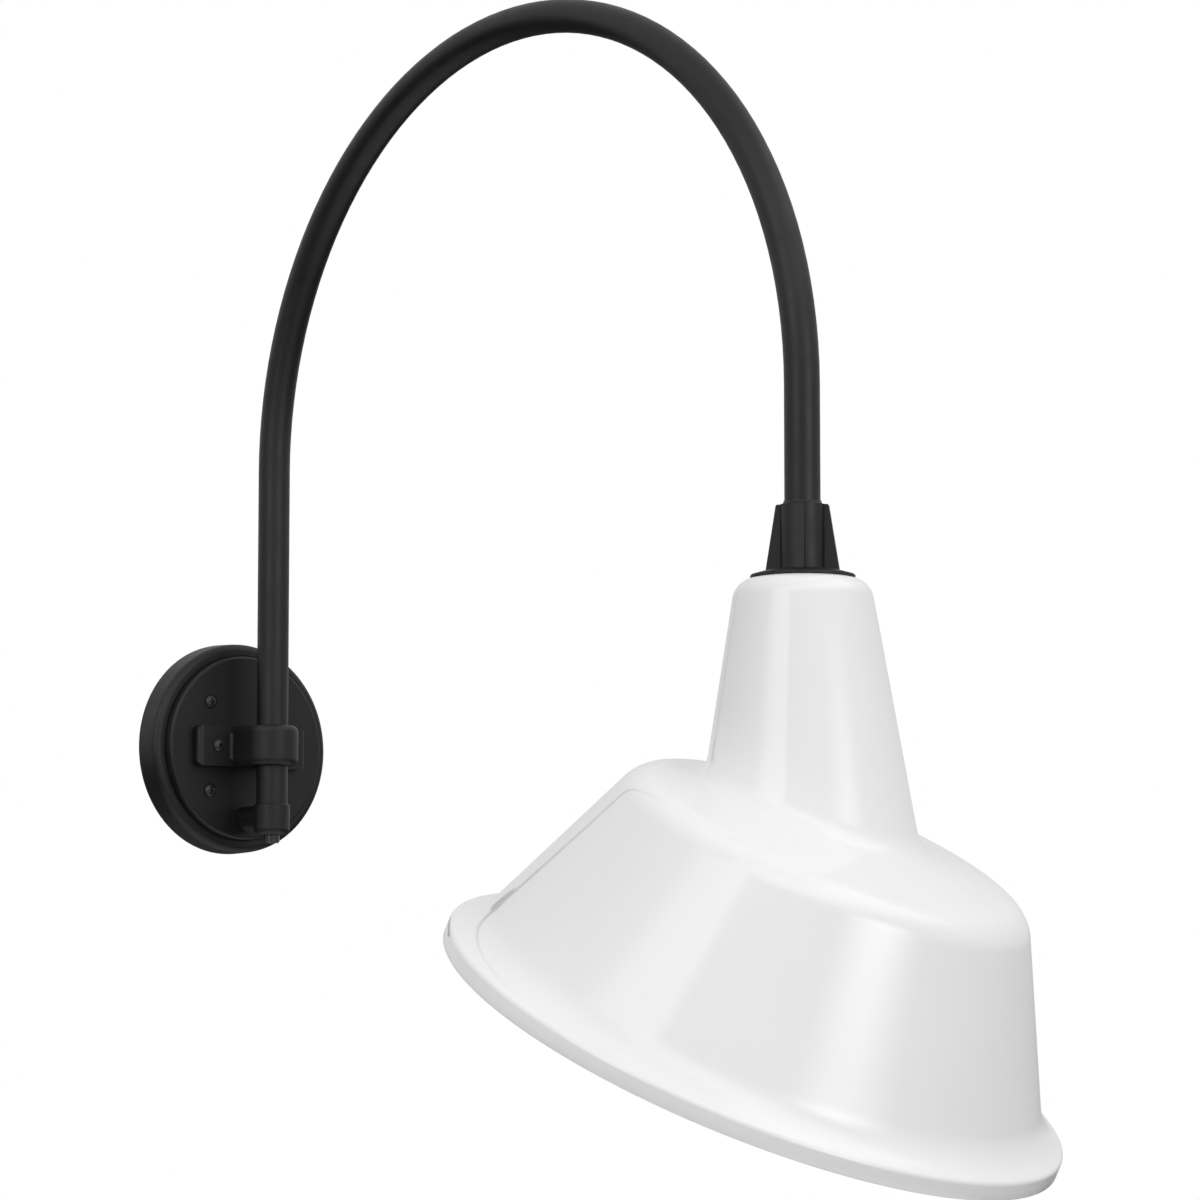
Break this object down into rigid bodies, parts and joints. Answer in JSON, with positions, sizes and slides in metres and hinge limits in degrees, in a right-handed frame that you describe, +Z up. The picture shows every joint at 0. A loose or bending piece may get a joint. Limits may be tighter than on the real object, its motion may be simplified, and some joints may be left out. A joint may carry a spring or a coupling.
{
  "type": "gooseneck barn wall light",
  "caption": "Barn light: a round wall plate, a gooseneck arm in a strap clamp and elbow, and a white angle shade that turns on a ribbed hub.",
  "frame": {"origin": "centre of the wall plate's back, in the plane of the wall", "axes": "+Z up, the light stands out from the wall along -Y, +X to the right of one who faces the wall"},
  "size_m": [0.3987, 0.7541, 0.7798],
  "materials": {
    "black_coat": "satin black powder coat",
    "white_coat": "gloss white powder coat",
    "black_fasteners": "black coated steel, slightly glossy",
    "zinc_steel": "zinc plated steel",
    "rubber": "matte black rubber",
    "porcelain": "glazed off-white porcelain",
    "brass": "bright brass",
    "green_screw": "green coated steel",
    "green_insulation": "smooth insulation",
    "black_insulation": "smooth insulation",
    "white_insulation": "smooth insulation",
    "yellow_plastic": "moulded plastic",
    "lamp_cap": "bright aluminium",
    "lamp_insulator": "black glazed ring",
    "lamp_housing": "matte white",
    "lamp_globe": "frosted opal"
  },
  "bodies": {
    "wall": {"wall_gasket": "rubber", "mounting_plate": "zinc_steel", "wall_plate": "black_coat", "plate_screws": "black_fasteners", "ground_screw": "green_screw", "ground_lead": "green_insulation", "wire_connectors": "yellow_plastic", "tube_rest": "black_coat", "arm_clamp": "black_coat", "clamp_screws": "black_fasteners", "elbow": "black_coat", "elbow_locknut": "zinc_steel", "drain_plug": "black_fasteners", "arm_tube": "black_coat", "live_lead": "black_insulation", "neutral_lead": "white_insulation"},
    "head": {"hub": "black_coat", "hub_set_screw": "black_fasteners", "hub_gasket": "rubber", "shade": "white_coat", "neck_washer": "zinc_steel", "neck_locknut": "zinc_steel", "neck_nipple": "zinc_steel", "holder_cap": "porcelain", "lampholder": "porcelain", "holder_screws": "brass", "terminal_screws": "brass", "screw_shell": "brass", "centre_contact": "brass", "head_live_lead": "black_insulation", "head_neutral_lead": "white_insulation"},
    "lamp": {"lamp_cap": "lamp_cap", "lamp_ring": "lamp_insulator", "lamp_contact": "lamp_cap", "lamp_housing": "lamp_housing", "lamp_globe": "lamp_globe"}
  },
  "joints": [
    {"name": "head_swivel", "type": "hinge", "parent": "wall", "child": "head", "pos_m": [0, -0.6079, 0.1], "axis": [0, 0, 1], "range_deg": [-163.5, 136.5]},
    {"name": "lamp_out", "type": "slide", "parent": "head", "child": "lamp", "axis": [0, 0, -1], "range_m": [0, 0.027]}
  ]
}
